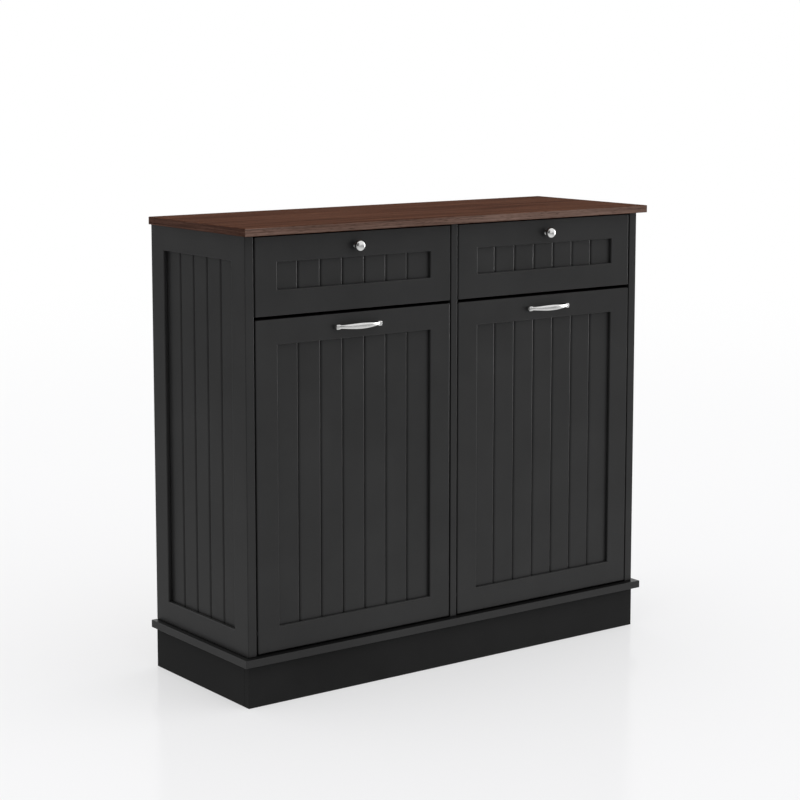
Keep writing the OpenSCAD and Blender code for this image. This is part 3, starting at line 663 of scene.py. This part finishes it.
def smoothCurve(points, steps):
    # a Catmull-Rom curve through the points
    ends = [points[0]] + list(points) + [points[-1]]
    curve = []
    for a, b, c, d in zip(ends, ends[1:], ends[2:], ends[3:]):
        for i in range(steps):
            t = i / steps
            curve.append(tuple(0.5 * (2 * q + (r - p) * t + (2 * p - 5 * q + 4 * r - s) * t * t
                                      + (3 * q - p - 3 * r + s) * t ** 3)
                               for p, q, r, s in zip(a, b, c, d)))
    return curve + [tuple(points[-1])]


def lathe(profile, segments):
    # profile holds (radius, height) from one pole, where the radius is 0, to the other
    work = bmesh.new()
    rings = []
    for radius, height in profile:
        turns = [2 * math.pi * i / segments for i in range(segments if radius > 0 else 1)]
        rings.append([work.verts.new((radius * math.cos(a), radius * math.sin(a), height))
                      for a in turns])
    bridge(work, rings, isCapped=False)
    bmesh.ops.recalc_face_normals(work, faces=work.faces)
    return work


def makeKnob(node):
    low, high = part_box(node)
    curve = smoothCurve([(r * mm, h * mm) for r, h in knob["profile"]], knob["steps"])
    mesh = meshFrom(lathe([(0, 0)] + curve, knob["segments"]), camel(node), isRound=True)
    place = Vector(((low.x + high.x) / 2, high.y, (low.z + high.z) / 2))
    mesh.transform(Matrix.Translation(place) @ Matrix.Rotation(math.pi / 2, 4, "X"))
    mesh.set_sharp_from_angle(angle=math.radians(knob["sharpFrom"]))
    piece = meshObject(camel(node), mesh)
    setFinish(piece, finishes["nickel"])
    stand(piece, node)


for bay in bays:
    makeKnob(bay + "_drawer_knob")
print("knobs made")


# Pulls, cast in one piece and polished

pull = {
    "span": 96 * mm,  # from screw to screw
    "end": 5.5 * mm,  # from a screw to the end of the bow
    "middleHeight": 11.6 * mm,
    "neckHeight": 6.8 * mm,
    "thickness": 4.6 * mm,
    "neckShare": 0.82,  # how much of the thickness is left at the neck
    "swell": (1.12, 1.6),  # how early and how steeply the bow narrows to its neck
    "squareness": 0.75,  # 1 makes its section an ellipse, and less a rounded bar
    "lap": 0.7,  # how much of the thickness lies inside the feet
    "footWidth": 9.5 * mm,
    "footHeight": 9.6 * mm,
    "footReach": 12 * mm,
    "footRadius": 1.4 * mm,
    "stations": 56,
    "around": 28,
    "voxel": 0.45 * mm,
    "polish": (0.5, 8),  # strength and passes
}


def roundedBox(work, low, high, radius):
    made = bmesh.ops.create_cube(work, size=1.0, matrix=Matrix.Translation((low + high) / 2)
                                 @ Matrix.Diagonal((high - low).to_4d()))
    edges = list(dict.fromkeys(edge for vert in made["verts"] for edge in vert.link_edges))
    bmesh.ops.bevel(work, geom=edges, offset=radius, segments=3, affect="EDGES", profile=0.5)


def bowRings(work, middle, back, reach):
    # the bow's sections from its left end to its right end, on one arc
    endX = pull["span"] / 2 + pull["end"]
    rise = reach - pull["footReach"] + pull["thickness"] * pull["lap"]
    bowRadius = (endX ** 2 + rise ** 2) / (2 * rise)
    halfAngle = math.asin(endX / bowRadius)
    early, steep = pull["swell"]
    neck, square = pull["neckShare"], pull["squareness"]
    rings = []
    for i in range(pull["stations"] + 1):
        t = -1 + 2 * i / pull["stations"]
        angle = t * halfAngle
        swell = math.cos(min(abs(t) * early, 1) * math.pi / 2) ** steep
        height = pull["neckHeight"] + (pull["middleHeight"] - pull["neckHeight"]) * swell
        thick = pull["thickness"] * (neck + (1 - neck) * swell)
        ring = []
        for k in range(pull["around"]):
            a = 2 * math.pi * k / pull["around"]
            c, s = math.cos(a), math.sin(a)
            out = bowRadius - thick / 2 + math.copysign(abs(c) ** square, c) * thick / 2
            up = math.copysign(abs(s) ** square, s) * height / 2
            ring.append(work.verts.new((middle.x + out * math.sin(angle),
                                        back + bowRadius - reach - out * math.cos(angle),
                                        middle.z + up)))
        rings.append(ring)
    return rings


def makePull(node):
    low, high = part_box(node)
    middle = (low + high) / 2
    work = bmesh.new()
    bridge(work, bowRings(work, middle, high.y, high.y - low.y))
    half = Vector((pull["footWidth"] / 2, 0, pull["footHeight"] / 2))
    for side in (-1, 1):
        x = middle.x + side * pull["span"] / 2
        roundedBox(work, Vector((x, high.y - pull["footReach"], middle.z)) - half,
                   Vector((x, high.y, middle.z)) + half, pull["footRadius"])
    bmesh.ops.recalc_face_normals(work, faces=work.faces)
    piece = meshObject(camel(node), meshFrom(work, camel(node)))
    remesh = piece.modifiers.new("oneCasting", "REMESH")
    remesh.mode = "VOXEL"
    remesh.voxel_size = pull["voxel"]
    remesh.use_smooth_shade = True
    smooth = piece.modifiers.new("polish", "SMOOTH")
    smooth.factor, smooth.iterations = pull["polish"]
    applied(piece)
    setFinish(piece, finishes["nickel"])
    stand(piece, node)


for bay in bays:
    makePull(bay + "_door_pull")
print("pulls made")


# Screws, dowels and balls, which are instanced on points

screws = {
    # head: share of the head's radius, less so many millimetres, at millimetres under the top;
    # neck: millimetres under the top where the shank is plain; tip: share of the shank's radius
    # at a blunt end; pitch and point, which is the end without a thread, in millimetres
    "machine": {"head": [(0.6, 0, 0.15), (0.9, 0, 0.7), (1, 0, 1.5), (1, 0, 2.4)], "neck": [],
                "tip": [0.6], "pitch": 0.8, "point": 0.4},
    "slide": {"head": [(1, 0.2, 0), (1, 0, 0.2), (1, 0, 1.2)], "neck": [],
              "tip": [], "pitch": 1.9, "point": 2},
    "wood": {"head": [(1, 0, 0), (1, 0.1, 0.3)], "neck": [2.4, 5],
             "tip": [], "pitch": 1.9, "point": 4},
}
fastener = {
    "segments": 20,
    "core": 0.76,  # share of the radius at the bottom of the thread
    "recessWidth": 1.1 * mm,  # of one arm of the cross recess
    "recessSpan": 1.38,  # of the cross recess, in radii of the head
    "recessDepth": 0.9 * mm,
    "slideScrew": 12 * mm,  # a shorter screw holds a slide
    "leastHead": 0.05 * mm,  # how much wider than its shank a screw's head is at the least
    "endZone": 0.01 * mm,  # corners this close to an end belong to it
    "sharpFrom": 40,
    "flutes": 16,
    "fluteShare": 0.92,  # share of a dowel's radius at the bottom of a flute
    "taper": (1 * mm, 0.8),  # length of a dowel's taper, and share of the radius at its end
}


def looseSolids(node):
    # the corners of each separate solid in a CAD node
    work = bmesh.new()
    work.from_mesh(cadNodes[node].data)
    bmesh.ops.remove_doubles(work, verts=work.verts, dist=edging["weld"])
    seen, found = set(), []
    for first in work.verts:
        stack, group = [first], []
        while stack:
            vert = stack.pop()
            if vert not in seen:
                seen.add(vert)
                group.append(vert.co.copy())
                stack.extend(edge.other_vert(vert) for edge in vert.link_edges)
        if group:
            found.append(group)
    work.free()
    return found


def measure(points):
    # a turned solid has two equal sides, its third side is its axis, and its head is the wide end
    low, high = boxOf(points)
    size, centre = high - low, (low + high) / 2
    axis = min((abs(size[a] - size[b]), 3 - a - b) for a, b in ((0, 1), (0, 2), (1, 2)))[1]

    def radiusAt(value):
        near = [p for p in points if abs(p[axis] - value) < fastener["endZone"]]
        return max(math.hypot(*[p[i] - centre[i] for i in range(3) if i != axis]) for p in near)

    atLow, atHigh = radiusAt(low[axis]), radiusAt(high[axis])
    isHeadLow = atLow >= atHigh
    start, aim = centre.copy(), Vector((0, 0, 0))
    start[axis] = low[axis] if isHeadLow else high[axis]
    aim[axis] = 1 if isHeadLow else -1
    return {"start": start, "aim": aim, "length": size[axis], "head": max(atLow, atHigh),
            "shank": min(atLow, atHigh)}


def kindOf(part):
    if part["head"] - part["shank"] < fastener["leastHead"]:
        return "dowel"
    if part["length"] < fastener["slideScrew"]:
        return "slide"
    # the knobs' and pulls' screws are the ones that point to the front
    return "machine" if abs(part["aim"].y) > 0.5 else "wood"


def crossCut(mesh, head):
    # a cross recess, cut into the head that lies at the origin
    body = meshObject("screwBody", mesh)
    arm = Matrix.Diagonal((head * fastener["recessSpan"], fastener["recessWidth"],
                           2 * fastener["recessDepth"], 1))
    for turn in (0, 90):
        work = bmesh.new()
        bmesh.ops.create_cube(work, size=1.0,
                              matrix=Matrix.Rotation(math.radians(turn), 4, "Z") @ arm)
        cutter = meshObject("recess", meshFrom(work, "recess"))
        cut = body.modifiers.new("recess", "BOOLEAN")
        cut.operation = "DIFFERENCE"
        cut.solver = "EXACT"
        cut.object = cutter
        applied(body)
        bpy.data.objects.remove(cutter)
    result = body.data.copy()
    bpy.data.objects.remove(body)
    return result


def threaded(start, end, radius, pitch):
    rows = []
    count = max(1, int((end - start) / pitch))
    for i in range(count):
        z = start + (end - start) * i / count
        rows += [(radius * fastener["core"], z), (radius, z + 0.5 * (end - start) / count)]
    return rows + [(radius * fastener["core"], end)]


def screwMesh(kind, length, head, shank):
    # the head's top lies at the origin, and the tip lies along Z
    form = screws[kind]
    profile = [(0, 0)] + [(head * share - less * mm, under * mm)
                          for share, less, under in form["head"]]
    profile += [(shank, under * mm) for under in form["neck"]]
    profile += threaded(profile[-1][1], length - form["point"] * mm, shank, form["pitch"] * mm)
    profile += [(shank * share, length) for share in form["tip"]] + [(0, length)]
    return crossCut(meshFrom(lathe(profile, fastener["segments"]), kind, isRound=True), head)


def dowelMesh(length, radius):
    # fluted all round, with a taper at both ends
    taper, endShare = fastener["taper"]
    corners = 2 * fastener["flutes"]
    work = bmesh.new()
    rings = []
    for z, share in ((0, endShare), (taper, 1), (length - taper, 1), (length, endShare)):
        ring = []
        for i in range(corners):
            r = radius * share * (1 if i % 2 else fastener["fluteShare"])
            a = 2 * math.pi * i / corners
            ring.append(work.verts.new((r * math.cos(a), r * math.sin(a), z)))
        rings.append(ring)
    bridge(work, rings)
    return meshFrom(work, "dowel")


def instanceTree():
    # puts the given piece on each point, with its Z axis along the point's own aim
    tree, given = startTree("piecesOnPoints", (
        ("Geometry", "Geometry"), ("Piece", "Object"), ("Finish", "Material")))
    aim = addNode(tree, "GeometryNodeInputNamedAttribute",
                  {"data_type": "FLOAT_VECTOR", "Name": "aim"})
    turn = addNode(tree, "FunctionNodeAlignRotationToVector", {"axis": "Z"},
                   {"Vector": aim.outputs[0]})
    shape = addNode(tree, "GeometryNodeObjectInfo", {}, {"Object": given["Piece"]})
    put = addNode(tree, "GeometryNodeInstanceOnPoints", {},
                  {"Points": given["Geometry"], "Instance": shape.outputs["Geometry"],
                   "Rotation": turn.outputs[0]})
    return endTree(tree, put.outputs[0], given["Finish"])


def onPoints(name, places, mesh, finish, tree):
    # places holds (position, aim) pairs, and the result is one plain mesh
    points = bpy.data.meshes.new(name)
    points.from_pydata([start for start, _ in places], [], [])
    aims = points.attributes.new("aim", "FLOAT_VECTOR", "POINT")
    for i, (_, aim) in enumerate(places):
        aims.data[i].vector = aim
    source = bpy.data.objects.new(name + "Source", mesh)
    piece = runTree(meshObject(name, points), tree, {"Piece": source, "Finish": finishes[finish]})
    bpy.data.objects.remove(source)
    return piece


def makeFasteners(node, tree):
    # all the screws of a node become one piece, and all its dowels another
    groups = {}
    for points in looseSolids(node):
        part = measure(points)
        sizes = [round(part[name], 5) for name in ("length", "head", "shank")]
        groups.setdefault((kindOf(part), *sizes), []).append((part["start"], part["aim"]))
    made = {}
    for (kind, length, head, shank), places in sorted(groups.items(), key=str):
        finish = "beech" if kind == "dowel" else "zinc"
        mesh = dowelMesh(length, shank) if kind == "dowel" else screwMesh(kind, length, head, shank)
        piece = onPoints(camel(node) + kind.capitalize(), places, mesh, finish, tree)
        made.setdefault(finish, []).append(piece)
    for finish, group in made.items():
        name = camel(node) + ("Dowels" if finish == "beech" else "Screws")
        work = bmesh.new()
        for piece in group:
            work.from_mesh(piece.data)
        joined = meshObject(name, meshFrom(work, name))
        setFinish(joined, finishes[finish])
        joined.data.set_sharp_from_angle(angle=math.radians(fastener["sharpFrom"]))
        for piece in group:
            bpy.data.objects.remove(piece)
        stand(joined, node)


pointTree = instanceTree()
for node in ("case_screws", "left_drawer_fixings", "right_drawer_fixings",
             "left_door_fixings", "right_door_fixings"):
    makeFasteners(node, pointTree)
print("screws and dowels made")


balls = {
    "diameter": 4.26 * mm,
    "row": 4,
    "fromEdge": 2.1 * mm,  # from a retainer's edge to the middle of the ball
    "topZone": 0.02 * mm,  # corners this close to a retainer's top edge belong to it
    "segments": (20, 12),
}


def makeBalls(bay, tree):
    # two rows of balls in each slide, over and under the inner member
    node = bay + "_drawer_ball_retainers"
    places = []
    for points in looseSolids(node):
        low, high = boxOf(points)
        tops = [p for p in points if p.z > high.z - balls["topZone"]]
        x = sum(p.x for p in tops) / len(tops)
        for z in (high.z - balls["fromEdge"], low.z + balls["fromEdge"]):
            for i in range(balls["row"]):
                y = low.y + (i + 0.5) * (high.y - low.y) / balls["row"]
                places.append((Vector((x, y, z)), Vector((0, 0, 1))))
    work = bmesh.new()
    around, rows = balls["segments"]
    bmesh.ops.create_uvsphere(work, u_segments=around, v_segments=rows,
                              radius=balls["diameter"] / 2)
    piece = onPoints(bay + "DrawerBalls", places, meshFrom(work, "ball", isRound=True),
                     "ballSteel", tree)
    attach(piece, bodyOf(node))


for bay in bays:
    makeBalls(bay, pointTree)
print("balls made")


# Studio

studio = {
    "floorSize": 60.0,
    "floorColour": "#e6e6e8",
    "floorGloss": (0.15, 1.2),  # roughness and IOR
    "fade": (1.2, 7.0),  # metres from the cabinet, where the floor turns white
    "floorLift": 0.5,  # how much of it is plain white near the cabinet
    # what gloss and metal show of the floor, as metres from the cabinet and lightness
    "mirroredFloor": ((0.5, 0.95), (7.0, 0.35)),
    # the floor's light side, how light it is on the other side, and where the change lies
    "litFrom": ((0.3, -0.95, 0.0), 0.6, (-0.5, 0.9)),
    "roomLight": 0.15,
    # soft light by where it comes from: direction, tightness and strength
    "softLight": [((0.0, 0.0, 1.0), 3.0, 2.05),
                  ((0.6, -0.8, 0.2), 2.0, 0.9)],
    # what polished things mirror: a white room with one strip box and one dark flag
    "stripBox": ((0.989, -0.148, 0.04), 60.0, 8.0),
    "stripOnFloor": (2.0, 6.0),  # metres away, where the floor begins to mirror it
    "flag": ((-0.7, -0.71, 0.1), 0.6, 0.88, 0.9),
}


def towards(tree, aim, direction):
    # how squarely aim points in the direction, from -1 to 1
    return addNode(tree, "ShaderNodeVectorMath",
                   {"operation": "DOT_PRODUCT", 1: Vector(direction).normalized()},
                   {0: aim}).outputs["Value"]


def glow(tree, aim, direction, tightness):
    # a soft round light in the direction, which is smaller the tighter it is
    near = maths(tree, "MAXIMUM", towards(tree, aim, direction), 0)
    return maths(tree, "POWER", near, tightness)


def studioFloor():
    # pale gloss laminate under the cabinet, which fades into the white backdrop with distance
    material, tree = newMaterial("studioFloor")
    place = addNode(tree, "ShaderNodeNewGeometry").outputs["Position"]
    distance = addNode(tree, "ShaderNodeVectorMath", {"operation": "LENGTH"},
                       {0: place}).outputs["Value"]
    aside = addNode(tree, "ShaderNodeVectorMath", {"operation": "NORMALIZE"},
                    {0: place}).outputs["Vector"]
    rays = addNode(tree, "ShaderNodeLightPath").outputs

    # what the camera sees, and what the light falls on
    fade = mapRange(tree, distance, studio["fade"], (studio["floorLift"], 1), "SMOOTHSTEP")
    rough, ior = studio["floorGloss"]
    surface = addNode(tree, "ShaderNodeBsdfPrincipled",
                      {"Base Color": linear(studio["floorColour"]), "Roughness": rough, "IOR": ior})
    white = addNode(tree, "ShaderNodeEmission", {"Color": (1, 1, 1, 1), "Strength": 1.0})
    shown = addNode(tree, "ShaderNodeMixShader", {},
                    {0: maths(tree, "MULTIPLY", fade, rays["Is Camera Ray"]),
                     1: surface.outputs[0], 2: white.outputs[0]})

    # what gloss and metal mirror
    (near, lightNear), (far, lightFar) = studio["mirroredFloor"]
    dimming = mapRange(tree, distance, (near, far), (lightNear, lightFar))
    front, behind, change = studio["litFrom"]
    litShare = mapRange(tree, towards(tree, aside, front), change, (behind, 1))
    direction, tightness, strength = studio["stripBox"]
    growing = mapRange(tree, distance, studio["stripOnFloor"], (0, strength), "SMOOTHSTEP")
    glare = maths(tree, "MULTIPLY_ADD", glow(tree, aside, direction, tightness), growing,
                  maths(tree, "MULTIPLY", dimming, litShare))
    mirrored = addNode(tree, "ShaderNodeEmission", {"Color": (1, 1, 1, 1)}, {"Strength": glare})
    mixed = addNode(tree, "ShaderNodeMixShader", {},
                    {0: rays["Is Glossy Ray"], 1: shown.outputs[0], 2: mirrored.outputs[0]})
    addNode(tree, "ShaderNodeOutputMaterial", {}, {"Surface": mixed.outputs[0]})
    return material


def studioWorld():
    # the camera sees plain white, mirrors see the white room and the rest gets the soft light
    world = bpy.data.worlds.new("studioWorld")
    world.use_nodes = True
    tree = world.node_tree
    tree.nodes.clear()
    aim = addNode(tree, "ShaderNodeTexCoord").outputs["Generated"]

    def lit(direction, tightness, strength, under):
        return maths(tree, "MULTIPLY_ADD", glow(tree, aim, direction, tightness), strength, under)

    soft = studio["roomLight"]
    for light in studio["softLight"]:
        soft = lit(*light, soft)
    direction, start, full, depth = studio["flag"]
    flagged = mapRange(tree, towards(tree, aim, direction), (start, full), (1, 1 - depth),
                       "SMOOTHSTEP")
    mirrored = lit(*studio["stripBox"], flagged)
    rays = addNode(tree, "ShaderNodeLightPath").outputs
    seen = maths(tree, "MAXIMUM", rays["Is Camera Ray"], rays["Is Transmission Ray"])
    felt = addNode(tree, "ShaderNodeMix", {"data_type": "FLOAT"},
                   {0: rays["Is Glossy Ray"], 2: soft, 3: mirrored})
    strength = addNode(tree, "ShaderNodeMix", {"data_type": "FLOAT", 3: 1.0},
                       {0: seen, 2: felt.outputs[0]})
    sky = addNode(tree, "ShaderNodeBackground", {"Color": (1, 1, 1, 1)},
                  {"Strength": strength.outputs[0]})
    addNode(tree, "ShaderNodeOutputWorld", {}, {"Surface": sky.outputs[0]})
    scene.world = world


def makeStudio():
    half = studio["floorSize"] / 2
    mesh = bpy.data.meshes.new("studioFloor")
    mesh.from_pydata([(-half, -half, 0), (half, -half, 0), (half, half, 0), (-half, half, 0)],
                     [], [(0, 1, 2, 3)])
    floor = meshObject("studioFloor", mesh)
    setFinish(floor, studioFloor())
    studioWorld()


view = {
    # fitted to the edges of the photograph, in metres and degrees
    "place": (-2.44619, -3.28598, 1.20803),
    "yaw": 36.501,
    "pitch": 7.370,
    "focalPixels": 2041.41,
    "frameWidth": 800,
    "shift": -0.10,
    "sensorWidth": 36,
    "clip": (0.05, 200),
}


def makeCamera():
    lens = bpy.data.cameras.new("camera")
    lens.sensor_width = view["sensorWidth"]
    lens.sensor_fit = "HORIZONTAL"
    lens.lens = view["focalPixels"] / view["frameWidth"] * view["sensorWidth"]
    lens.shift_y = view["shift"]
    lens.clip_start, lens.clip_end = view["clip"]
    camera = bpy.data.objects.new("camera", lens)
    camera.location = view["place"]
    camera.rotation_euler = (math.radians(90 - view["pitch"]), 0, math.radians(-view["yaw"]))
    scene.collection.objects.link(camera)
    scene.camera = camera


makeStudio()
makeCamera()
scene.view_settings.view_transform = "Standard"
print("studio and camera made")
